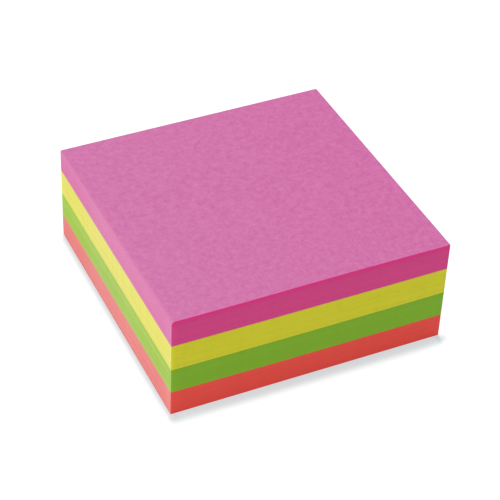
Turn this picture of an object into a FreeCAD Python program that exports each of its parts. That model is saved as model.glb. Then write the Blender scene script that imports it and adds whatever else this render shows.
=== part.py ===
import FreeCAD
import Part
import os

# A cube of sticky notes: four blocks of square sheets, one block for each paper colour, lying on
# z = 0 with their middle on the z axis. Each sheet is stuck to the next by a coat of adhesive
# under one edge. Those coats add up, so the stack stands higher along the glued edge, at low y,
# than along the free edge, at high y. Sizes are in millimetres.

# The sheets
sheet_side = 76.0
sheets_per_colour = 75

# Thickness of one sheet at the free edge, and what its adhesive adds at the glued edge
red_caliper = 0.0933
red_glue_build_up = 0.0027
green_caliper = 0.0987
green_glue_build_up = 0.0040
yellow_caliper = 0.1027
yellow_glue_build_up = 0.0033
pink_caliper = 0.0907
pink_glue_build_up = 0.0167

# The guillotine came down along the edge at low x and rolled the top sheets over to this radius
cut_roll_radius = 0.6

# The blocks from the bottom up: node name, sheet thickness, adhesive per sheet
blocks = (
    ("red_sheets", red_caliper, red_glue_build_up),
    ("green_sheets", green_caliper, green_glue_build_up),
    ("yellow_sheets", yellow_caliper, yellow_glue_build_up),
    ("pink_sheets", pink_caliper, pink_glue_build_up),
)

half_side = sheet_side / 2


def sheet_block(bottom, top):
    """One colour's sheets as a solid: their wedge profile, seen from the side, run across the pad.

    bottom and top are the heights of those faces at the glued edge and at the free edge.
    """
    corners = (
        (-half_side, bottom[0]),
        (half_side, bottom[1]),
        (half_side, top[1]),
        (-half_side, top[0]),
    )
    points = [FreeCAD.Vector(-half_side, y, z) for y, z in corners]
    profile = Part.Face(Part.makePolygon(points + points[:1]))
    return profile.extrude(FreeCAD.Vector(sheet_side, 0, 0))


def top_edge_at_low_x(block):
    """The edge between the top face and the side face at low x."""
    side_edges = [edge for edge in block.Edges if edge.BoundBox.XMax < 0]
    return max(side_edges, key=lambda edge: edge.CenterOfMass.z)


def roll_cut_edge(block, thickness):
    """Round the top edge at low x, to a radius that the block's thickness leaves room for."""
    radius = min(cut_roll_radius, 0.45 * thickness)
    return block.makeFillet(radius, [top_edge_at_low_x(block)])


os.makedirs("parts", exist_ok=True)
top_block = blocks[-1][0]
bottom = (0.0, 0.0)
for name, caliper, glue_build_up in blocks:
    free_thickness = sheets_per_colour * caliper
    glued_thickness = sheets_per_colour * (caliper + glue_build_up)
    top = (bottom[0] + glued_thickness, bottom[1] + free_thickness)
    block = sheet_block(bottom, top)
    if name == top_block:
        block = roll_cut_edge(block, free_thickness)
    block.exportStep(f"parts/{name}.step")
    print(
        f"{name}: {glued_thickness:.2f} mm at the glued edge, {free_thickness:.2f} mm at the free"
        f" edge, {len(block.Solids)} solid, valid {block.isValid()}, {len(block.Faces)} faces,"
        f" {block.Volume / 1000:.2f} cm3"
    )
    bottom = top
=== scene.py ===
from functools import partial
from math import cos, pi, radians, sin, tan

import bmesh
import bpy
from bpy.props import (
    EnumProperty,
    FloatProperty,
    FloatVectorProperty,
    IntProperty,
    PointerProperty,
)
from mathutils import Matrix, Vector


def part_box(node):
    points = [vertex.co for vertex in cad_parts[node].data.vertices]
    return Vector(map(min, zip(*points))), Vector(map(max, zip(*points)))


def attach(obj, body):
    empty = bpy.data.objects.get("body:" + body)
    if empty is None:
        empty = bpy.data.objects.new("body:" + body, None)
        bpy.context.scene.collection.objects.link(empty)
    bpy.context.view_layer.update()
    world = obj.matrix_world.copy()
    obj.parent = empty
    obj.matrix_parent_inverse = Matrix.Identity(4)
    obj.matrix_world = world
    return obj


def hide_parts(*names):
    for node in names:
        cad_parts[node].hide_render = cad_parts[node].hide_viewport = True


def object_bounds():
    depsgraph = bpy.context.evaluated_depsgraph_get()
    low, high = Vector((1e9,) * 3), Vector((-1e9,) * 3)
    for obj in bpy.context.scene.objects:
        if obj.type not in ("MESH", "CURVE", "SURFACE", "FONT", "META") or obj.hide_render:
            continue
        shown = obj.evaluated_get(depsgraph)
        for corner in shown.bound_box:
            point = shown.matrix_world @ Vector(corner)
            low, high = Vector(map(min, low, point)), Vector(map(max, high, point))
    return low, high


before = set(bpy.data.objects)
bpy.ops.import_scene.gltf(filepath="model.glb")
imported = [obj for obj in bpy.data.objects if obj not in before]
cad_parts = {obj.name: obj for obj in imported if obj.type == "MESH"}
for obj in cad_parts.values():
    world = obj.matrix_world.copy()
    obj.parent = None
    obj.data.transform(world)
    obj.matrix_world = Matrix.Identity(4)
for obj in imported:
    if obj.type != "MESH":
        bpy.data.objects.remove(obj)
cad_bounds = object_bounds()

bl_info = {
    "name": "Sticky Note Cube",
    "version": (1, 0, 0),
    "blender": (4, 5, 0),
    "location": "3D View > Sidebar > Note Cube",
    "description": "Builds a cube of sticky notes sheet by sheet, with its papers and a studio",
    "category": "Add Mesh",
}

SENSOR_WIDTH = 36.0
MM = 0.001
TOUCHING = 0.001 * MM

# From the bottom up: each colour's block of sheets in the frame, and its material slot
BLOCKS = {
    "red": ("red_sheets", "red_paper"),
    "green": ("green_sheets", "green_paper"),
    "yellow": ("yellow_sheets", "yellow_paper"),
    "pink": ("pink_sheets", "pink_paper"),
}

# Where the wave in the top sheets is highest, as a share of the pad's width from its high x side
WAVE_CREST = 0.34

# The rims whose normals point this far toward low y are the glued edges
GLUED_FACING = 0.7

# Corners of the unit slab nearer than this are one, and no radius is taken to be under this
TINY_STEP = 1e-5
TINY_RADIUS = 1e-6

# The part of the noise that is spread out into the paper's grain
GRAIN_RANGE = (0.25, 0.75)

# The depth of the paper's relief on its flats and on its edges, and the fibres' part of it on the
# flats beside the clouds' full part
FACE_RELIEF = 0.012 * MM
EDGE_RELIEF = 0.004 * MM
FIBRE_RELIEF = 0.6

# Adhesive gives a sheet this share of its brightness, and takes this much from its roughness
COAT_SHADE = 0.80
COAT_GLOSS = 0.25
FACE_ROUGHNESS = 0.62

# Half the width in millimetres over which the adhesive ends, and how thinly and thickly it lies
COAT_BLUR = 0.25
COAT_DOTS = (0.4, 1.2)

# The share of the full roll's bend at which a sheet takes its full painted highlight in the cut
# edges' colour, and that highlight's brightness
HIGHLIGHT_BEND = 0.25
HIGHLIGHT_SHADE = 0.88

# How much of its colour a flat loses for each part of white that the painted sheen at low x adds
LEFT_SHEEN_DEPTH = 1.6

# Where the painted sheen on the cut edges thins out toward the free edge and toward the glued edge,
# from full to none, in millimetres from the pad's middle
SHEEN_TO_FREE = (12.0, 26.0)
SHEEN_TO_GLUED = (-8.0, -60.0)

# How far from the pad's nearest corner the wear of the cut edges and the painted highlight of the
# glued edges reach, in millimetres
WEAR_REACH = 5.0
CORNER_HIGHLIGHT_REACH = 1.2

# The depth down to which the top sheets' rim has the full colour of its painted glow
FULL_RIM = 0.1 * MM

# The floor's colour and its glow as the camera sees them, far from the pad and close beside it,
# where they take out the light that the red sheets throw on their shadow
FLOOR_TINTS = ((0.70, 0.70, 0.70, 1.0), (0.65, 0.70, 0.71, 1.0))
GLOW_TINTS = ((0.930, 1.06, 1.100, 1.0), (0.590, 0.875, 0.915, 1.0))

# The distances from the glued edges at which the tint beside the pad is gone and is full, how many
# times sooner it is gone at the low x edges and at the hidden ones, and how far its corners are
# rounded off
TINT_FADE = (5.0 * MM, 1.2 * MM)
SOONER_AT_CUT = 1.8
SOONER_BEHIND = 12.0
ROUND_OFF = 5.0 * MM

# Soft shades on the floor at the two near corners: how far they reach, how deep they are, and
# where their centres lie out from the corner in x and y. The right one is a short line of centres
# and deepens along it.
SHADE_REACH = 3.0 * MM
RIGHT_SHADE_DEPTH = (0.02, 0.25)
RIGHT_SHADE_X = (-2.0 * MM, 0.2 * MM)
RIGHT_SHADE_Y = 1.4 * MM
LEFT_SHADE_DEPTH = 0.11
LEFT_SHADE_X = -0.1 * MM
LEFT_SHADE_Y = 1.8 * MM

# How far before the glued edges, and under them, the floor lights their foot
FRONT_REACH = 8.0 * MM
FRONT_UNDER = 0.3 * MM

# Where the large soft lamps stand, and how wide and high each is, in metres
SOFT_LAMPS = {
    "side": (-0.55, -0.12, 0.16),
    "front": (0.20, -0.60, 0.16),
    "back": (0.45, 0.45, 0.12),
}
SOFT_LAMP_SIZE = (0.5, 0.28)


# Settings


def count_setting(name, description, default):
    """A whole number that a user may change."""
    return IntProperty(name=name, description=description, default=default, min=1)


def number_setting(name, description, default, **kind):
    """A number that a user may change, with its unit or subtype if it has one."""
    return FloatProperty(name=name, description=description, default=default, **kind)


length_setting = partial(number_setting, unit="LENGTH", precision=6)
angle_setting = partial(number_setting, subtype="ANGLE")
power_setting = partial(number_setting, unit="POWER")


def colour_setting(name, description, default):
    """A colour that a user may change."""
    return FloatVectorProperty(
        name=name, description=description, default=default, subtype="COLOR", min=0, max=1
    )


class NoteSheetSettings(bpy.types.PropertyGroup):
    """How the sheets of each block are cut and stacked."""

    sheets: count_setting("Sheets per Colour", "How many sheets each colour's block holds", 75)
    steps: count_setting("Steps Across", "How many faces lie along the glued edge of a sheet", 10)
    steps_back: count_setting(
        "Steps Back", "How many faces lie between the glued edge and the free edge of a sheet", 1
    )
    roll_steps: count_setting(
        "Roll Steps", "How many faces lie across the rolled edge of the top block", 6
    )
    roll_taper: FloatVectorProperty(
        name="Roll Taper",
        description="Radius of the rolled edge at the free edge and at the glued edge, as a share"
        " of the frame's",
        default=(0.7, 1.65),
        size=2,
    )
    roll_reach: length_setting(
        "Roll Reach",
        "How deep below the top the sheets are still bent by the rolled edge",
        4.0 * MM,
    )
    air_gap: length_setting("Air Gap", "Space left between one sheet and the next", 0.004 * MM)
    stray: length_setting(
        "Stray", "How far a sheet may lie back from the cut face of the stack", 0.012 * MM
    )
    twist: angle_setting(
        "Twist", "How far a sheet may be turned from the one below it", radians(0.01)
    )
    sag: length_setting(
        "Sag",
        "How far the sheets at half height bow down in the middle of the glued edge",
        0.17 * MM,
    )
    joint_lift: FloatVectorProperty(
        name="Joint Lift",
        description="How far each joint between two colours, from the bottom up, stands above level"
        " at the low x end of the glued edge",
        default=(0.33 * MM, 0.11 * MM, 0.0),
        unit="LENGTH",
        precision=6,
    )
    crown_wave: length_setting(
        "Crown Wave", "Height of the slow wave in the top sheets along the glued edge", 0.09 * MM
    )
    crown_lean: length_setting(
        "Crown Lean",
        "How far the top sheets fall away at the low x end of the free edge",
        0.18 * MM,
    )
    seed: count_setting("Seed", "Chooses the sheets' small offsets", 7)


class NotePaperSettings(bpy.types.PropertyGroup):
    """The colours of the papers, and the scale of their grain."""

    # Each glued edge's colour is darker and less white than its cut edges': painted shade on the
    # glued edges, and painted light and sheen on the cut ones
    red_face: colour_setting("Red Face", "The red sheets' flats", (0.800, 0.150, 0.130))
    red_glued: colour_setting(
        "Red Glued Edge", "The red sheets' glued edges", (0.745, 0.061, 0.045)
    )
    red_cut: colour_setting("Red Cut Edges", "The red sheets' other edges", (0.800, 0.240, 0.237))
    green_face: colour_setting("Green Face", "The green sheets' flats", (0.320, 0.600, 0.080))
    green_glued: colour_setting(
        "Green Glued Edge", "The green sheets' glued edges", (0.184, 0.390, 0.010)
    )
    green_cut: colour_setting(
        "Green Cut Edges", "The green sheets' other edges", (0.378, 0.563, 0.085)
    )
    yellow_face: colour_setting("Yellow Face", "The yellow sheets' flats", (0.800, 0.760, 0.090))
    yellow_glued: colour_setting(
        "Yellow Glued Edge", "The yellow sheets' glued edges", (0.595, 0.566, 0.013)
    )
    yellow_cut: colour_setting(
        "Yellow Cut Edges", "The yellow sheets' other edges", (0.768, 0.724, 0.150)
    )
    pink_face: colour_setting("Pink Face", "The pink sheets' flats", (0.608, 0.147, 0.369))
    pink_glued: colour_setting(
        "Pink Glued Edge", "The pink sheets' glued edges", (0.612, 0.042, 0.206)
    )
    pink_cut: colour_setting(
        "Pink Cut Edges", "The pink sheets' other edges", (0.694, 0.194, 0.412)
    )
    top_rim: colour_setting(
        "Top Rim",
        "Colour that light coming through the top sheets gives to their glued edges",
        (0.727, 0.010, 0.200),
    )
    rim_depth: number_setting(
        "Rim Depth", "How far down the glued edges the top rim fades out, in millimetres", 1.7
    )
    cloud_size: number_setting(
        "Cloud Size", "Size of the cloudy patches where the paper is thicker, in millimetres", 1.7
    )
    fibre_size: number_setting("Fibre Size", "Size of the fibre grain, in millimetres", 0.70)
    clouds: number_setting(
        "Clouds",
        "White that the clouds add to the flat of a sheet and the gaps between them lose",
        0.044,
    )
    fibres: number_setting(
        "Fibres", "How far the fibres change the brightness of the flat of a sheet", 0.092
    )
    # A painted sheen: the flats are whiter at low x and less white at high x
    fading: number_setting(
        "Fading", "White that the flats have at low x more than in their middle", 0.014
    )
    # A painted sheen: white on the cut edges, thinning out toward the free and glued edges
    bloom: number_setting(
        "Cut Sheen",
        "White that the knife's rough cut adds to the edges, except near the free edge",
        0.057,
    )
    wear: number_setting(
        "Corner Wear",
        "White that handling adds to the cut edges next to the nearest corner",
        0.015,
    )
    # A painted highlight along the glued edges next to the nearest corner
    corner_glow: number_setting(
        "Corner Glow", "How much brighter the glued edges are next to the nearest corner", 0.15
    )
    mark_size: number_setting(
        "Knife Mark Spacing",
        "Spacing of the faint upright marks that the guillotine leaves, in millimetres",
        1.1,
    )
    edge_grain: number_setting(
        "Edge Grain",
        "How far the sheets' own shades and the knife's marks change the edges' colour",
        0.075,
    )
    strip_width: number_setting(
        "Adhesive Strip",
        "Width of the adhesive coat under the glued edge of a sheet, in millimetres",
        18.0,
    )


class NoteStageSettings(bpy.types.PropertyGroup):
    """The camera, lights and floor."""

    azimuth: angle_setting(
        "Camera Azimuth",
        "Where the camera stands around the pad, from the glued edge",
        radians(-26.485),
    )
    elevation: angle_setting(
        "Camera Elevation", "How high the camera stands above the pad's middle", radians(40.013)
    )
    roll: angle_setting(
        "Camera Roll", "How far the camera is turned about its own line of sight", radians(2.714)
    )
    distance: length_setting(
        "Camera Distance", "From the camera to the point that it looks at", 484.9 * MM
    )
    aim: FloatVectorProperty(
        name="Camera Aim",
        description="The point that the camera looks at",
        default=(-1.174 * MM, -3.925 * MM, 15.0 * MM),
        subtype="TRANSLATION",
    )
    lens: number_setting("Lens", "Focal length of the camera, in millimetres", 133.230)
    fill: number_setting("Fill Light", "Brightness of the white surroundings", 0.56)
    fill_colour: colour_setting(
        "Fill Colour", "Colour of the light from the surroundings", (0.97, 0.99, 1.0)
    )
    key: power_setting("Key Light", "Power of the long soft lamp overhead", 54.8)
    key_height: length_setting("Key Height", "How far above the floor the lamp overhead hangs", 4.0)
    key_width: length_setting("Key Width", "Width of the lamp overhead, from left to right", 0.20)
    key_depth: length_setting("Key Depth", "Length of the lamp overhead, from front to back", 0.44)
    key_lean_back: angle_setting(
        "Key Lean Back", "How far the lamp overhead stands back from upright", radians(5.5)
    )
    key_lean_right: angle_setting(
        "Key Lean Right", "How far the lamp overhead stands to the right of upright", radians(1.34)
    )
    side: power_setting("Side Light", "Power of the large soft lamp on the left", 1.3)
    front: power_setting("Front Light", "Power of the large soft lamp low in front", 0.37)
    back: power_setting("Back Light", "Power of the large soft lamp behind on the right", 1.0)
    floor_radius: length_setting("Floor Radius", "Radius of the pale floor", 0.6)
    floor_colour: colour_setting(
        "Floor Colour", "Colour that the floor gives to the light it throws back", (0.9, 0.9, 0.9)
    )
    floor_glow: number_setting(
        "Floor Glow",
        "Brightness that the camera sees on the floor besides that of the lamps",
        0.43,
    )
    front_glow: number_setting(
        "Front Glow", "Brightness with which the floor lights the foot of the glued edges", 0.17
    )


class NoteCubeSettings(bpy.types.PropertyGroup):
    """Everything that the note cube's operators read."""

    sheet: PointerProperty(type=NoteSheetSettings)
    paper: PointerProperty(type=NotePaperSettings)
    stage: PointerProperty(type=NoteStageSettings)


# Node helpers


def add_node(tree, kind, inputs=None, **settings):
    """Add a node, with its settings, and feed its inputs from values or other nodes' outputs."""
    node = tree.nodes.new(kind)
    for name, value in settings.items():
        setattr(node, name, value)
    for key, value in (inputs or {}).items():
        if isinstance(value, bpy.types.NodeSocket):
            tree.links.new(value, node.inputs[key])
        else:
            node.inputs[key].default_value = value
    return node


def output_of(tree, kind, inputs=None, **settings):
    """The first output of a new node."""
    return add_node(tree, kind, inputs, **settings).outputs[0]


def calculate(tree, operation, *values):
    """The output of a Math node."""
    return output_of(tree, "ShaderNodeMath", dict(enumerate(values)), operation=operation)


def times(tree, first, second):
    """The product of two values."""
    return calculate(tree, "MULTIPLY", first, second)


def minus(tree, first, second):
    """The first value less the second."""
    return calculate(tree, "SUBTRACT", first, second)


def calculate_vector(tree, operation, *values):
    """The output of a Vector Math node, a value for a length or distance."""
    node = add_node(tree, "ShaderNodeVectorMath", dict(enumerate(values)), operation=operation)
    return node.outputs["Value" if operation in ("LENGTH", "DISTANCE") else "Vector"]


def blend_values(tree, start, end, share):
    """The value that lies a share of the way from start to end."""
    span = minus(tree, end, start)
    return calculate(tree, "MULTIPLY_ADD", span, share, start)


def limit(tree, value, least, most):
    """The value, kept between two others."""
    return calculate(tree, "MINIMUM", calculate(tree, "MAXIMUM", value, least), most)


def ramp(tree, value, start, end, low=0.0, high=1.0, interpolation="LINEAR"):
    """Runs from low, where value is start or beyond it, to high, where it is end or beyond it."""
    return output_of(
        tree,
        "ShaderNodeMapRange",
        {"Value": value, "From Min": start, "From Max": end, "To Min": low, "To Max": high},
        interpolation_type=interpolation,
    )


def split(tree, vector):
    """The x, y and z of a vector."""
    return add_node(tree, "ShaderNodeSeparateXYZ", {0: vector}).outputs


def join(tree, x, y, z=0.0):
    """The vector with this x, y and z."""
    return output_of(tree, "ShaderNodeCombineXYZ", {0: x, 1: y, 2: z})


def scaled(tree, vector, factor):
    """A vector or colour times a factor."""
    inputs = {0: vector, "Scale": factor}
    return output_of(tree, "ShaderNodeVectorMath", inputs, operation="SCALE")


def noise(tree, place, scale, detail, roughness, distortion=0.0):
    """The value of a Noise Texture at a place."""
    inputs = {
        "Vector": place,
        "Scale": scale,
        "Detail": detail,
        "Roughness": roughness,
        "Distortion": distortion,
    }
    return output_of(tree, "ShaderNodeTexNoise", inputs)


def mix_colours(tree, share, first, second):
    """The colour output of a Mix node."""
    inputs = {"Factor": share, 6: first, 7: second}
    return add_node(tree, "ShaderNodeMix", inputs, data_type="RGBA").outputs[2]


def read_mesh(tree, name):
    """A number that the mesh carries under this name, in a material."""
    return add_node(tree, "ShaderNodeAttribute", attribute_name=name).outputs["Fac"]


def add_group(name, kind, inputs, outputs):
    """A node group with the named inputs and outputs, and its two end nodes."""
    group = bpy.data.node_groups.new(name, kind)
    for label, socket_type, default in inputs:
        socket = group.interface.new_socket(name=label, in_out="INPUT", socket_type=socket_type)
        if default is not None:
            socket.default_value = default
    for label, socket_type in outputs:
        group.interface.new_socket(name=label, in_out="OUTPUT", socket_type=socket_type)
    given = group.nodes.new("NodeGroupInput").outputs
    return group, given, group.nodes.new("NodeGroupOutput").inputs


def place_group(tree, group, inputs):
    """A node group placed in a material, with its own values."""
    return add_node(tree, "ShaderNodeGroup", inputs, node_tree=group).outputs


# The stack of sheets


def mark(tree, geometry, name, value, domain="POINT", data_type="FLOAT"):
    """The geometry, with a value written on its points or faces under this name."""
    return output_of(
        tree,
        "GeometryNodeStoreNamedAttribute",
        {"Geometry": geometry, "Name": name, "Value": value},
        data_type=data_type,
        domain=domain,
    )


def read_mark(tree, name, data_type="FLOAT"):
    """What was written on the geometry under this name."""
    kind = "GeometryNodeInputNamedAttribute"
    return output_of(tree, kind, {"Name": name}, data_type=data_type)


def give_material(tree, geometry, material, selection=True):
    """The geometry, with a material on the selected faces."""
    inputs = {"Geometry": geometry, "Selection": selection, "Material": material}
    return output_of(tree, "GeometryNodeSetMaterial", inputs)


def sheet_slab(tree, steps_across, steps_back):
    """A closed slab one unit wide and high, with its underside and cut rims marked."""
    flat = add_node(
        tree,
        "GeometryNodeMeshGrid",
        {
            "Size X": 1.0,
            "Size Y": 1.0,
            "Vertices X": calculate(tree, "ADD", steps_across, 1.0),
            "Vertices Y": calculate(tree, "ADD", steps_back, 1.0),
        },
    ).outputs["Mesh"]
    raised = add_node(
        tree,
        "GeometryNodeExtrudeMesh",
        {"Mesh": flat, "Offset": (0.0, 0.0, 1.0), "Offset Scale": 1.0, "Individual": False},
        mode="FACES",
    ).outputs
    upper = mark(tree, raised["Mesh"], "rim", raised["Side"], "FACE", "BOOLEAN")
    turned = output_of(tree, "GeometryNodeFlipFaces", {"Mesh": flat})
    under = mark(tree, turned, "underside", 1.0, "FACE")
    joined = add_node(tree, "GeometryNodeJoinGeometry")
    tree.links.new(upper, joined.inputs[0])
    tree.links.new(under, joined.inputs[0])
    return output_of(
        tree,
        "GeometryNodeMergeByDistance",
        {"Geometry": joined.outputs[0], "Distance": TINY_STEP},
    )


def piled_slabs(tree, slab, sheets, seed):
    """One slab for each sheet, all in one place, each with its number and its own shade."""
    points = output_of(tree, "GeometryNodePoints", {"Count": sheets})
    index = output_of(tree, "GeometryNodeInputIndex")
    shade = add_node(
        tree,
        "FunctionNodeRandomValue",
        {2: 0.0, 3: 1.0, "ID": index, "Seed": seed},
        data_type="FLOAT",
    ).outputs[1]
    for name, value in (("sheet", index), ("shade", shade)):
        points = mark(tree, points, name, value)
    placed = output_of(tree, "GeometryNodeInstanceOnPoints", {"Points": points, "Instance": slab})
    return output_of(tree, "GeometryNodeRealizeInstances", {"Geometry": placed})


def place_across(tree, unit_x, radius, given, steps_across, cut_side):
    """Distance from a sheet's low x edge, with its first steps crowded into the rolled edge."""
    step = times(tree, calculate(tree, "ADD", unit_x, 0.5), steps_across)
    roll_step = calculate(tree, "MINIMUM", step, given["Roll Steps"])
    rolled = calculate(tree, "DIVIDE", roll_step, given["Roll Steps"])
    plain_steps = minus(tree, step, given["Roll Steps"])
    plain_step = calculate(tree, "MAXIMUM", plain_steps, 0.0)
    plain = calculate(tree, "DIVIDE", plain_step, given["Steps"])
    quarter_turn = times(tree, rolled, pi / 2)
    in_roll = minus(tree, 1.0, calculate(tree, "COSINE", quarter_turn))
    rest = minus(tree, cut_side, radius)
    past_roll = times(tree, plain, rest)
    return calculate(tree, "MULTIPLY_ADD", in_roll, radius, past_roll)


def roll_drop(tree, from_edge, depth, radius, given):
    """How far the roll of the low x edge bends a sheet down, less and less with its depth."""
    within = limit(tree, from_edge, 0.0, radius)
    near = minus(tree, radius, within)
    radius_square = times(tree, radius, radius)
    near_square = times(tree, near, near)
    rise_square = minus(tree, radius_square, near_square)
    rise = calculate(tree, "SQRT", calculate(tree, "MAXIMUM", rise_square, 0.0))
    share_down = calculate(tree, "DIVIDE", depth, given["Roll Reach"])
    fade = calculate(tree, "MAXIMUM", minus(tree, 1.0, share_down), 0.0)
    return times(tree, minus(tree, radius, rise), fade)


def unevenness(tree, to_left, to_glued, number, given):
    """How far a sheet stands above its level place, between the block's bottom and its top."""
    left_square = times(tree, to_left, to_left)
    lift_shape = times(tree, left_square, to_glued)
    at_bottom = times(tree, lift_shape, given["Bottom Lift"])
    lifted = times(tree, lift_shape, given["Top Lift"])
    from_crest = minus(tree, to_left, WAVE_CREST)
    turn = times(tree, from_crest, 2 * pi)
    wave = minus(tree, calculate(tree, "COSINE", turn), 1.0)
    glued_wave = times(tree, wave, to_glued)
    waved = calculate(tree, "MULTIPLY_ADD", glued_wave, given["Crown Wave"], lifted)
    to_free = minus(tree, 1.0, to_glued)
    left_free = times(tree, to_left, to_free)
    fall = times(tree, left_free, given["Crown Lean"])
    at_top = minus(tree, waved, fall)
    return blend_values(tree, at_bottom, at_top, number)


def sag_shape(tree, height, across, to_glued, given):
    """How much of the sag a place has: all in the middle of the glued edge at half height."""
    share_up = calculate(tree, "DIVIDE", height, given["Pad Height"])
    share_down = minus(tree, 1.0, share_up)

    # Four times the product of two shares that add up to one is one where both are a half
    mid_height = times(tree, times(tree, share_up, share_down), 4.0)
    off_middle = times(tree, across, 2.0)
    off_square = times(tree, off_middle, off_middle)
    mid_width = minus(tree, 1.0, off_square)
    mid_glued = times(tree, mid_width, to_glued)
    return times(tree, mid_height, mid_glued)


def build_stack_tree():
    """Geometry nodes that pile up one colour's sheets into their wedge."""
    counts = ("Sheets", "Steps", "Steps Back", "Roll Steps", "Seed")
    measures = (
        "Side", "Bottom Glued", "Bottom Free", "Top Glued", "Top Free", "Pad Height",
        "Roll at Glued", "Roll at Free", "Roll Reach", "Air Gap", "Stray", "Twist", "Sag",
        "Bottom Lift", "Top Lift", "Crown Wave", "Crown Lean",
    )
    inputs = (
        *((name, "NodeSocketInt", 1) for name in counts),
        *((name, "NodeSocketFloat", 0.0) for name in measures),
        *((name, "NodeSocketMaterial", None) for name in ("Face", "Glued Edge", "Cut Edges")),
    )
    tree, given, result = add_group(
        "Note Stack", "GeometryNodeTree", inputs, (("Geometry", "NodeSocketGeometry"),)
    )
    steps_across = calculate(tree, "ADD", given["Steps"], given["Roll Steps"])
    slab = sheet_slab(tree, steps_across, given["Steps Back"])
    pile = piled_slabs(tree, slab, given["Sheets"], given["Seed"])
    sheet = read_mark(tree, "sheet")
    place = output_of(tree, "GeometryNodeInputPosition")
    unit_x, unit_y, unit_z = split(tree, place)

    # Each sheet's own small offset across the stack, and its turn
    stray = given["Stray"]
    least = times(tree, stray, -1.0)
    offsets = output_of(
        tree,
        "FunctionNodeRandomValue",
        {
            0: join(tree, least, least),
            1: join(tree, stray, stray),
            "ID": sheet,
            "Seed": given["Seed"],
        },
        data_type="FLOAT_VECTOR",
    )
    turn = add_node(
        tree,
        "FunctionNodeRandomValue",
        {
            2: times(tree, given["Twist"], -1.0),
            3: given["Twist"],
            "ID": sheet,
            "Seed": calculate(tree, "ADD", given["Seed"], 1.0),
        },
        data_type="FLOAT",
    ).outputs[1]
    offset_x, offset_y, _ = split(tree, offsets)

    # A sheet is cut short by what its offset and turn may take it past the faces of the stack
    turn_reach = times(tree, given["Twist"], given["Side"])
    spare = calculate(tree, "MULTIPLY_ADD", stray, 2.0, turn_reach)
    cut_side = minus(tree, given["Side"], spare)
    half_cut = times(tree, cut_side, 0.5)
    unit_to_glued = minus(tree, 0.5, unit_y)
    radius = blend_values(tree, given["Roll at Free"], given["Roll at Glued"], unit_to_glued)
    along = place_across(tree, unit_x, radius, given, steps_across, cut_side)
    flat_x = minus(tree, along, half_cut)
    flat_y = times(tree, unit_y, cut_side)
    turned_x = minus(tree, flat_x, times(tree, flat_y, turn))
    turned_y = calculate(tree, "MULTIPLY_ADD", flat_x, turn, flat_y)
    x = calculate(tree, "ADD", turned_x, offset_x)
    y = calculate(tree, "ADD", turned_y, offset_y)

    # Heights run from the free edge to the glued edge
    to_glued = minus(tree, 0.5, calculate(tree, "DIVIDE", y, given["Side"]))
    bottom = blend_values(tree, given["Bottom Free"], given["Bottom Glued"], to_glued)
    top = blend_values(tree, given["Top Free"], given["Top Glued"], to_glued)
    half_gap = times(tree, given["Air Gap"], 0.5)
    number = calculate(tree, "DIVIDE", calculate(tree, "ADD", sheet, unit_z), given["Sheets"])
    level = blend_values(tree, bottom, top, number)
    toward_middle = calculate(tree, "MULTIPLY_ADD", unit_z, -2.0, 1.0)
    height = calculate(tree, "MULTIPLY_ADD", toward_middle, half_gap, level)
    depth = minus(tree, top, height)

    # Sag, unevenness and the rolled edge bend the sheets from there
    across = calculate(tree, "DIVIDE", x, given["Side"])
    to_left = minus(tree, 0.5, across)
    uneven = unevenness(tree, to_left, to_glued, number, given)
    bow = sag_shape(tree, height, across, to_glued, given)
    bowed = minus(tree, height, times(tree, bow, given["Sag"]))
    from_left = minus(tree, 1.0, to_left)
    from_edge = times(tree, from_left, given["Side"])
    drop = roll_drop(tree, from_edge, depth, radius, given)
    z = minus(tree, calculate(tree, "ADD", bowed, uneven), drop)
    bent = calculate(tree, "DIVIDE", drop, calculate(tree, "MAXIMUM", radius, TINY_RADIUS))
    for name, value in (("depth", depth), ("bent", bent)):
        pile = mark(tree, pile, name, value)
    stacked = output_of(
        tree, "GeometryNodeSetPosition", {"Geometry": pile, "Position": join(tree, x, y, z)}
    )

    # The rims stay crisp, and get the materials of the glued edge and of the cut ones
    rim = read_mark(tree, "rim", "BOOLEAN")
    smooth = output_of(
        tree, "GeometryNodeSetShadeSmooth", {"Geometry": stacked, "Shade Smooth": True}
    )
    crisp = output_of(
        tree,
        "GeometryNodeSetShadeSmooth",
        {"Geometry": smooth, "Selection": rim, "Shade Smooth": False},
        domain="EDGE",
    )
    normal = output_of(tree, "GeometryNodeInputNormal")
    _, facing_y, _ = split(tree, normal)
    at_glued = calculate(tree, "LESS_THAN", facing_y, -GLUED_FACING)
    glued_rim = times(tree, rim, at_glued)
    papered = give_material(tree, crisp, given["Face"])
    cut = give_material(tree, papered, given["Cut Edges"], rim)
    edged = give_material(tree, cut, given["Glued Edge"], glued_rim)
    tree.links.new(edged, result["Geometry"])
    return tree


def edge_heights(node, taper):
    """A block's underside and top at its glued and free edges, and its rolled edge's radii."""
    low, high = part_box(node)
    corners = [vertex.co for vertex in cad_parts[node].data.vertices]
    glued = [co for co in corners if co.y < low.y + TOUCHING]
    free = [co for co in corners if co.y > high.y - TOUCHING]
    top_glued = max(co.z for co in glued)
    top_edge_x = min(co.x for co in glued if co.z > top_glued - TOUCHING)
    return {
        "Bottom Glued": min(co.z for co in glued),
        "Bottom Free": min(co.z for co in free),
        "Top Glued": top_glued,
        "Top Free": max(co.z for co in free),
        "Roll at Free": taper[0] * (top_edge_x - low.x),
        "Roll at Glued": taper[1] * (top_edge_x - low.x),
    }


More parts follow.
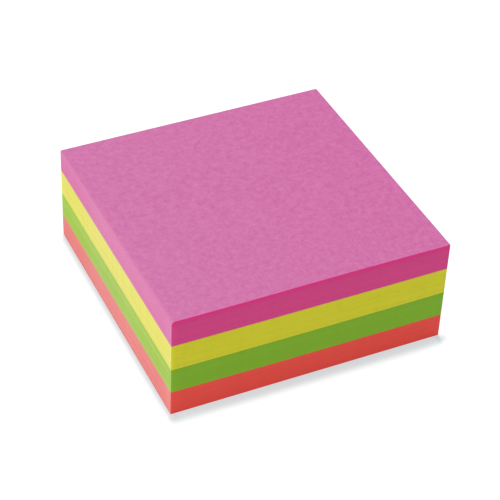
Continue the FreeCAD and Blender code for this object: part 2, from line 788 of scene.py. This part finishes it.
def apply_nodes(piece, tree, values):
    """Run a geometry node tree on a piece with the given inputs, and keep the mesh it makes."""
    modifier = piece.modifiers.new("Stack", "NODES")
    modifier.node_group = tree
    for item in tree.interface.items_tree:
        if item.in_out == "INPUT" and item.name in values:
            modifier[item.identifier] = values[item.name]
    bpy.context.view_layer.update()
    depsgraph = bpy.context.evaluated_depsgraph_get()
    evaluated = piece.evaluated_get(depsgraph)
    mesh = bpy.data.meshes.new_from_object(evaluated, depsgraph=depsgraph)
    piece.modifiers.remove(modifier)
    piece.data = mesh
    mesh.name = piece.name
    return mesh


# Papers


def build_paper_grain():
    """Node group: cloudy patches of the paper, its fibres, and the relief of both."""
    group, given, result = add_group(
        "Paper Grain",
        "ShaderNodeTree",
        (
            ("Place", "NodeSocketVector", None),
            ("Cloud Size", "NodeSocketFloat", 1.0),
            ("Fibre Size", "NodeSocketFloat", 0.2),
        ),
        [(label, "NodeSocketFloat") for label in ("Clouds", "Fibres", "Relief")],
    )
    cloud_scale = calculate(group, "DIVIDE", 1.0, given["Cloud Size"])
    fibre_scale = calculate(group, "DIVIDE", 1.0, given["Fibre Size"])
    cloud = noise(group, given["Place"], cloud_scale, detail=4.0, roughness=0.75, distortion=0.1)
    fibre = noise(group, given["Place"], fibre_scale, detail=3.0, roughness=0.7, distortion=0.5)
    for label, pattern in (("Clouds", cloud), ("Fibres", fibre)):
        group.links.new(ramp(group, pattern, *GRAIN_RANGE), result[label])
    group.links.new(calculate(group, "MULTIPLY_ADD", fibre, FIBRE_RELIEF, cloud), result["Relief"])
    return group


def build_cut_marks():
    """Node group: the sheets' own shades and the upright marks of the knife on a cut face."""
    group, given, result = add_group(
        "Cut Marks",
        "ShaderNodeTree",
        (
            ("Place", "NodeSocketVector", None),
            ("Sheet Shade", "NodeSocketFloat", 0.5),
            ("Mark Size", "NodeSocketFloat", 1.0),
            ("Mark Stretch", "NodeSocketVector", (1.0, 1.0, 0.04)),
            ("Mark Share", "NodeSocketFloat", 0.9),
            ("Fibre Share", "NodeSocketFloat", 0.8),
        ),
        (("Shade", "NodeSocketFloat"), ("Relief", "NodeSocketFloat")),
    )
    upright = calculate_vector(group, "MULTIPLY", given["Place"], given["Mark Stretch"])
    mark_scale = calculate(group, "DIVIDE", 1.0, given["Mark Size"])
    marks = noise(group, upright, mark_scale, detail=5.0, roughness=0.6)
    fibre = noise(group, given["Place"], scale=9.0, detail=2.0, roughness=0.5)
    shade = minus(group, given["Sheet Shade"], 0.5)
    for pattern, share in ((marks, given["Mark Share"]), (fibre, given["Fibre Share"])):
        centred = minus(group, pattern, 0.5)
        shade = calculate(group, "MULTIPLY_ADD", centred, share, shade)
    group.links.new(limit(group, calculate(group, "ADD", shade, 0.5), 0.0, 1.0), result["Shade"])
    group.links.new(calculate(group, "ADD", marks, fibre), result["Relief"])
    return group


def build_adhesive_strip():
    """Node group: where the adhesive coat lies on the underside of a sheet."""
    group, given, result = add_group(
        "Adhesive Strip",
        "ShaderNodeTree",
        (
            ("Place", "NodeSocketVector", None),
            ("Underside", "NodeSocketFloat", 0.0),
            ("Glued Edge", "NodeSocketFloat", -38.0),
            ("Width", "NodeSocketFloat", 18.0),
            ("Raggedness", "NodeSocketFloat", 0.8),
        ),
        (("Coat", "NodeSocketFloat"),),
    )
    _, y, _ = split(group, given["Place"])
    speckle = noise(group, given["Place"], scale=3.0, detail=3.0, roughness=0.7)
    end = calculate(group, "ADD", given["Glued Edge"], given["Width"])
    centred = minus(group, speckle, 0.5)
    ragged = calculate(group, "MULTIPLY_ADD", centred, given["Raggedness"], y)
    inside = ramp(group, minus(group, end, ragged), -COAT_BLUR, COAT_BLUR)
    dots = ramp(group, speckle, 0.0, 1.0, *COAT_DOTS)
    dotted = times(group, inside, dots)
    group.links.new(times(group, dotted, given["Underside"]), result["Coat"])
    return group


def shaded(colour, factor, white=0.0):
    """A colour made lighter or darker, with white added, as a socket's four numbers."""
    return (*(min(1.0, max(0.0, part * factor + white)) for part in colour), 1.0)


def purer(colour, white):
    """A colour with some of its white taken out, and its strongest part kept."""
    strongest = max(colour)
    return [part - white * (1.0 - part / strongest) for part in colour]


def start_paper(name):
    """A new material with its tree, its Principled BSDF and a piece's own place in millimetres."""
    material = bpy.data.materials.new(name)
    material.use_nodes = True
    tree = material.node_tree
    surface = tree.nodes["Principled BSDF"]
    place = add_node(tree, "ShaderNodeTexCoord").outputs["Object"]
    in_mm = calculate_vector(tree, "MULTIPLY", place, (1 / MM,) * 3)
    return material, tree, surface, in_mm


def add_relief(tree, surface, height, distance):
    """Feed a relief, with its depth in metres, to a surface's normal."""
    inputs = {"Height": height, "Distance": distance, "Strength": 1.0}
    bump = add_node(tree, "ShaderNodeBump", inputs)
    tree.links.new(bump.outputs[0], surface.inputs["Normal"])


def build_paper(name, colour, cut_colour, paper, half_side, groups):
    """The flat of a coloured sheet, with a painted sheen at low x, a painted highlight where it is
    bent over, and adhesive beneath.
    """
    material, tree, surface, place = start_paper(name)
    grain = place_group(
        tree,
        groups["grain"],
        {"Place": place, "Cloud Size": paper.cloud_size, "Fibre Size": paper.fibre_size},
    )
    coat = place_group(
        tree,
        groups["strip"],
        {
            "Place": place,
            "Underside": read_mesh(tree, "underside"),
            "Glued Edge": -half_side,
            "Width": paper.strip_width,
        },
    )["Coat"]

    # The flat is palest at low x, a painted sheen, and mottled by its clouds and fibres
    x, _, _ = split(tree, place)
    toward_right = ramp(tree, x, -half_side, half_side)
    painted_sheen_loss = LEFT_SHEEN_DEPTH * paper.fading
    deep, pale = (
        mix_colours(
            tree,
            toward_right,
            shaded(colour, 1.0 - painted_sheen_loss, white + paper.fading),
            shaded(colour, 1.0 + painted_sheen_loss, white - paper.fading),
        )
        for white in (-paper.clouds, paper.clouds)
    )
    cloudy = mix_colours(tree, grain["Clouds"], deep, pale)
    brightness = calculate(
        tree, "MULTIPLY_ADD", grain["Fibres"], 2.0 * paper.fibres, 1.0 - paper.fibres
    )
    mottled = scaled(tree, cloudy, brightness)

    # Where a sheet is bent over the rolled edge, a painted highlight makes it paler
    roll_highlight = ramp(tree, read_mesh(tree, "bent"), 0.0, HIGHLIGHT_BEND)
    highlighted = mix_colours(tree, roll_highlight, mottled, shaded(cut_colour, HIGHLIGHT_SHADE))
    coated = mix_colours(tree, coat, highlighted, shaded(colour, COAT_SHADE))
    roughness = calculate(tree, "MULTIPLY_ADD", coat, -COAT_GLOSS, FACE_ROUGHNESS)
    tree.links.new(coated, surface.inputs["Base Color"])
    tree.links.new(roughness, surface.inputs["Roughness"])
    surface.inputs["Specular IOR Level"].default_value = 0.35
    surface.inputs["Sheen Weight"].default_value = 0.06
    surface.inputs["Sheen Roughness"].default_value = 0.5
    add_relief(tree, surface, grain["Relief"], FACE_RELIEF)
    return material


def start_edge(name, paper, groups):
    """A new edge material with its tree, surface and place, and the marks along the edges."""
    material, tree, surface, place = start_paper(name)
    marks = place_group(
        tree,
        groups["marks"],
        {"Place": place, "Sheet Shade": read_mesh(tree, "shade"), "Mark Size": paper.mark_size},
    )
    surface.inputs["Roughness"].default_value = 0.5
    surface.inputs["Specular IOR Level"].default_value = 0.2
    add_relief(tree, surface, marks["Relief"], EDGE_RELIEF)
    return material, tree, surface, place, marks["Shade"]


def marked(tree, marks, colour, grain):
    """A colour made darker and lighter by the marks along an edge."""
    return mix_colours(tree, marks, shaded(colour, 1.0 - grain), shaded(colour, 1.0 + grain))


def build_glued_edge(name, colour, rim_colour, paper, half_side, groups):
    """A block's glued edge, with a painted highlight at the nearest corner and, in the top block, a
    painted glow at its rim.
    """
    material, tree, surface, place, marks = start_edge(name, paper, groups)
    shade = marked(tree, marks, colour, paper.edge_grain)
    x, _, _ = split(tree, place)
    # A painted highlight brightens the glued edge next to the nearest corner
    near = ramp(tree, x, CORNER_HIGHLIGHT_REACH - half_side, -half_side)
    shade = mix_colours(tree, near, shade, shaded(colour, 1.0 + paper.corner_glow))
    # The top block's rim is painted with the glow of the light coming through the top sheets
    if rim_colour is not None:
        rim = ramp(tree, read_mesh(tree, "depth"), paper.rim_depth * MM, FULL_RIM)
        shade = mix_colours(tree, rim, shade, shaded(rim_colour, 1.0))
    tree.links.new(shade, surface.inputs["Base Color"])
    return material


def build_cut_edges(name, colour, paper, half_side, groups):
    """A block's other edges, pale with a painted sheen and with wear at the nearest corner."""
    material, tree, surface, place, marks = start_edge(name, paper, groups)
    _, y, _ = split(tree, place)
    # The painted sheen is full in the middle of the cut edges and thins out toward both ends
    ends = (ramp(tree, y, full, none) for full, none in (SHEEN_TO_FREE, SHEEN_TO_GLUED))
    sheen_gone = calculate(tree, "MAXIMUM", *ends)
    sheened = marked(tree, marks, colour, paper.edge_grain)
    plain = marked(tree, marks, purer(colour, paper.bloom), paper.edge_grain)
    shade = mix_colours(tree, sheen_gone, sheened, plain)
    worn = ramp(tree, y, WEAR_REACH - half_side, -half_side)
    shade = mix_colours(tree, worn, shade, shaded(colour, 1.0, paper.wear))
    tree.links.new(shade, surface.inputs["Base Color"])
    return material


# The floor and surroundings


def is_looked_at(tree):
    """One for a ray that looks here, straight or by a reflection, and none for one that lights."""
    path = add_node(tree, "ShaderNodeLightPath").outputs
    seen = calculate(tree, "MAXIMUM", path["Is Camera Ray"], path["Is Glossy Ray"])
    return calculate(tree, "MAXIMUM", seen, path["Is Transmission Ray"])


def mask_beside_pad(tree, place, half_side):
    """One on the floor close beside the glued and low x edges, and none further out."""
    before = calculate_vector(
        tree,
        "MULTIPLY_ADD",
        place,
        (-SOONER_AT_CUT, -1.0, 0.0),
        (ROUND_OFF - SOONER_AT_CUT * half_side, ROUND_OFF - half_side, 0.0),
    )
    hidden_edge = ROUND_OFF - SOONER_BEHIND * half_side
    behind = calculate_vector(
        tree,
        "MULTIPLY_ADD",
        place,
        (SOONER_BEHIND, SOONER_BEHIND, 0.0),
        (hidden_edge, hidden_edge, 0.0),
    )
    outside = calculate_vector(tree, "MAXIMUM", before, behind)
    clear = calculate_vector(tree, "MAXIMUM", outside, (0.0, 0.0, 0.0))
    distance = minus(tree, calculate_vector(tree, "LENGTH", clear), ROUND_OFF)
    beside = ramp(tree, distance, *TINT_FADE, interpolation="SMOOTHSTEP")
    from_below = add_node(tree, "ShaderNodeNewGeometry").outputs["Backfacing"]
    return times(tree, beside, minus(tree, 1.0, from_below))


def light_at_corners(tree, place, half_side):
    """The share of light left on the floor by the soft shades at the pad's two near corners."""
    x, _, _ = split(tree, place)
    start, end = (half_side + offset for offset in RIGHT_SHADE_X)
    right = join(tree, limit(tree, x, start, end), -half_side - RIGHT_SHADE_Y)
    right_depth = ramp(tree, x, start, end, *RIGHT_SHADE_DEPTH)
    left = (-half_side - LEFT_SHADE_X, -half_side - LEFT_SHADE_Y, 0.0)
    shades = []
    for centre, depth in ((right, right_depth), (left, LEFT_SHADE_DEPTH)):
        away = calculate_vector(tree, "DISTANCE", place, centre)
        close = ramp(tree, away, SHADE_REACH, 0.0, interpolation="SMOOTHSTEP")
        shades.append(times(tree, close, depth))
    return minus(tree, 1.0, calculate(tree, "MAXIMUM", *shades))


def build_floor_material(half_side, stage):
    """A pale floor that the camera sees as white, apart from a neutral shadow around the pad."""
    material = bpy.data.materials.new("floor white")
    material.use_nodes = True
    tree = material.node_tree
    tree.nodes.clear()
    place = add_node(tree, "ShaderNodeTexCoord").outputs["Object"]

    # As the camera sees it
    beside = mask_beside_pad(tree, place, half_side)
    light_left = light_at_corners(tree, place, half_side)
    tint, glow_tint = (
        scaled(tree, mix_colours(tree, beside, far, close), light_left)
        for far, close in (FLOOR_TINTS, GLOW_TINTS)
    )
    shown = output_of(tree, "ShaderNodeBsdfDiffuse", {"Color": tint})
    glow = output_of(tree, "ShaderNodeEmission", {"Color": glow_tint, "Strength": stage.floor_glow})
    white = output_of(tree, "ShaderNodeAddShader", {0: shown, 1: glow})

    # As it lights the pad, with some light of its own at the foot of the glued edges
    _, y, _ = split(tree, place)
    in_front = ramp(tree, y, -half_side - FRONT_REACH, -half_side, 0.0, stage.front_glow)
    not_under = calculate(tree, "LESS_THAN", y, -half_side + FRONT_UNDER)
    strength = times(tree, in_front, not_under)
    colour = (*stage.floor_colour, 1.0)
    diffuse = output_of(tree, "ShaderNodeBsdfDiffuse", {"Color": colour})
    spill = output_of(tree, "ShaderNodeEmission", {"Strength": strength})
    bounce = output_of(tree, "ShaderNodeAddShader", {0: diffuse, 1: spill})

    shaders = {0: is_looked_at(tree), 1: bounce, 2: white}
    surface = output_of(tree, "ShaderNodeMixShader", shaders)
    output = add_node(tree, "ShaderNodeOutputMaterial")
    tree.links.new(surface, output.inputs["Surface"])
    return material


# Operators


class NOTECUBE_OT_add_block(bpy.types.Operator):
    """Add one colour's block of sticky notes, sheet by sheet"""

    bl_idname = "notecube.add_block"
    bl_label = "Add Block"

    colour: EnumProperty(
        name="Colour",
        description="Which block of the cube to add",
        items=[(name, name.capitalize(), f"The {name} block") for name in BLOCKS],
    )

    def execute(self, context):
        settings = context.scene.note_cube
        sheet, paper = settings.sheet, settings.paper
        node, slot = BLOCKS[self.colour]
        place = list(BLOCKS).index(self.colour)
        on_top = place == len(BLOCKS) - 1
        lifts = (0.0, *sheet.joint_lift, 0.0)
        low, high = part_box(node)
        values = {
            "Sheets": sheet.sheets,
            "Steps": sheet.steps,
            "Steps Back": sheet.steps_back,
            "Roll Steps": sheet.roll_steps if on_top else 0,
            "Side": high.x - low.x,
            "Pad Height": cad_bounds[1][2] - cad_bounds[0][2],
            "Roll Reach": sheet.roll_reach,
            "Air Gap": sheet.air_gap,
            "Stray": sheet.stray,
            "Twist": sheet.twist,
            "Sag": sheet.sag,
            "Bottom Lift": lifts[place],
            "Top Lift": lifts[place + 1],
            "Crown Wave": sheet.crown_wave if on_top else 0.0,
            "Crown Lean": sheet.crown_lean if on_top else 0.0,
            "Seed": sheet.seed + place,
            **self.build_finishes(paper, (high.x - low.x) / 2 / MM, on_top),
            **edge_heights(node, sheet.roll_taper),
        }
        name = f"{self.colour}_notes"
        piece = bpy.data.objects.new(name, bpy.data.meshes.new(name))
        context.scene.collection.objects.link(piece)
        tree = bpy.data.node_groups.get("Note Stack") or build_stack_tree()
        mesh = apply_nodes(piece, tree, values)
        if not mesh.polygons:
            raise RuntimeError(f"the {self.colour} block came out empty")
        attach(piece, "root")
        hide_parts(node)
        return {"FINISHED"}

    def build_finishes(self, paper, half_side, on_top):
        """The three materials of the block, with half_side in millimetres."""
        groups = {
            "grain": bpy.data.node_groups.get("Paper Grain") or build_paper_grain(),
            "marks": bpy.data.node_groups.get("Cut Marks") or build_cut_marks(),
            "strip": bpy.data.node_groups.get("Adhesive Strip") or build_adhesive_strip(),
        }
        name = self.colour
        face, glued, cut = (getattr(paper, f"{name}_{part}") for part in ("face", "glued", "cut"))
        rim = paper.top_rim if on_top else None
        return {
            "Face": build_paper(f"{name} paper", face, cut, paper, half_side, groups),
            "Glued Edge": build_glued_edge(
                f"{name} glued edge", glued, rim, paper, half_side, groups
            ),
            "Cut Edges": build_cut_edges(f"{name} cut edges", cut, paper, half_side, groups),
        }


class NOTECUBE_OT_add_stage(bpy.types.Operator):
    """Add the floor, the lights, the white surroundings and the camera"""

    bl_idname = "notecube.add_stage"
    bl_label = "Add Stage"

    def execute(self, context):
        stage = context.scene.note_cube.stage
        self.add_floor(context, stage)
        self.add_surroundings(context, stage)
        self.add_lamps(context, stage)
        self.add_camera(context, stage)
        context.scene.view_settings.view_transform = "Standard"
        return {"FINISHED"}

    def add_floor(self, context, stage):
        form = bmesh.new()
        bmesh.ops.create_circle(form, cap_ends=True, segments=96, radius=stage.floor_radius)
        mesh = bpy.data.meshes.new("floor")
        form.to_mesh(mesh)
        form.free()
        floor = bpy.data.objects.new("floor", mesh)
        context.scene.collection.objects.link(floor)
        half_side = (cad_bounds[1][0] - cad_bounds[0][0]) / 2
        mesh.materials.append(build_floor_material(half_side, stage))

    def add_surroundings(self, context, stage):
        world = bpy.data.worlds.new("white surroundings")
        context.scene.world = world
        world.use_nodes = True
        tree = world.node_tree
        tree.nodes.clear()
        lit, white = (
            output_of(tree, "ShaderNodeBackground", {"Color": (*colour, 1.0), "Strength": strength})
            for colour, strength in ((stage.fill_colour, stage.fill), ((1.0, 1.0, 1.0), 1.0))
        )
        shaders = {0: is_looked_at(tree), 1: lit, 2: white}
        shown = output_of(tree, "ShaderNodeMixShader", shaders)
        output = add_node(tree, "ShaderNodeOutputWorld")
        tree.links.new(shown, output.inputs["Surface"])

    def add_lamps(self, context, stage):
        leans = Vector((tan(stage.key_lean_right), tan(stage.key_lean_back), 1.0))
        size = (stage.key_width, stage.key_depth)
        self.add_lamp(context, "key", stage.key, stage.key_height * leans, "ELLIPSE", size)
        for name, stand in SOFT_LAMPS.items():
            power = getattr(stage, name)
            self.add_lamp(context, name, power, Vector(stand), "RECTANGLE", SOFT_LAMP_SIZE)

    def add_lamp(self, context, name, power, stand, shape, size):
        soft = bpy.data.lights.new(name, "AREA")
        soft.energy = power
        soft.shape = shape
        soft.size, soft.size_y = size
        lamp = bpy.data.objects.new(name, soft)

        # The lamp behind faces the camera, and its gloss would whiten the top
        lamp.visible_glossy = name != "back"
        turned = stand.to_track_quat("Z", "Y").to_matrix().to_4x4()
        lamp.matrix_world = Matrix.Translation(stand) @ turned
        context.scene.collection.objects.link(lamp)

    def add_camera(self, context, stage):
        data = bpy.data.cameras.new("camera")
        data.sensor_width = SENSOR_WIDTH
        data.lens = stage.lens
        camera = bpy.data.objects.new("camera", data)
        azimuth, elevation = stage.azimuth, stage.elevation
        level = cos(elevation)
        back = Vector((sin(azimuth) * level, -cos(azimuth) * level, sin(elevation)))
        level_right = Vector((cos(azimuth), sin(azimuth), 0.0))
        level_up = back.cross(level_right)
        right = level_right * cos(stage.roll) + level_up * sin(stage.roll)
        up = level_up * cos(stage.roll) - level_right * sin(stage.roll)
        turned = Matrix((right, up, back)).transposed().to_4x4()
        stand = Vector(stage.aim) + back * stage.distance
        camera.matrix_world = Matrix.Translation(stand) @ turned
        context.scene.collection.objects.link(camera)
        context.scene.camera = camera


class NOTECUBE_PT_panel(bpy.types.Panel):
    """The note cube's settings and operators"""

    bl_idname = "NOTECUBE_PT_panel"
    bl_label = "Note Cube"
    bl_space_type = "VIEW_3D"
    bl_region_type = "UI"
    bl_category = "Note Cube"

    def draw(self, context):
        settings = context.scene.note_cube
        for name in BLOCKS:
            text = f"Add {name.capitalize()} Block"
            self.layout.operator("notecube.add_block", text=text).colour = name
        self.layout.operator("notecube.add_stage")
        for group in (settings.sheet, settings.paper, settings.stage):
            box = self.layout.box()
            for name in group.__annotations__:
                box.prop(group, name)


CLASSES = (
    NoteSheetSettings,
    NotePaperSettings,
    NoteStageSettings,
    NoteCubeSettings,
    NOTECUBE_OT_add_block,
    NOTECUBE_OT_add_stage,
    NOTECUBE_PT_panel,
)


def register():
    for cls in CLASSES:
        bpy.utils.register_class(cls)
    bpy.types.Scene.note_cube = PointerProperty(type=NoteCubeSettings)


def unregister():
    del bpy.types.Scene.note_cube
    for cls in reversed(CLASSES):
        bpy.utils.unregister_class(cls)


def main():
    register()
    for name in BLOCKS:
        bpy.ops.notecube.add_block(colour=name)
    bpy.ops.notecube.add_stage()


if __name__ == "__main__":
    main()
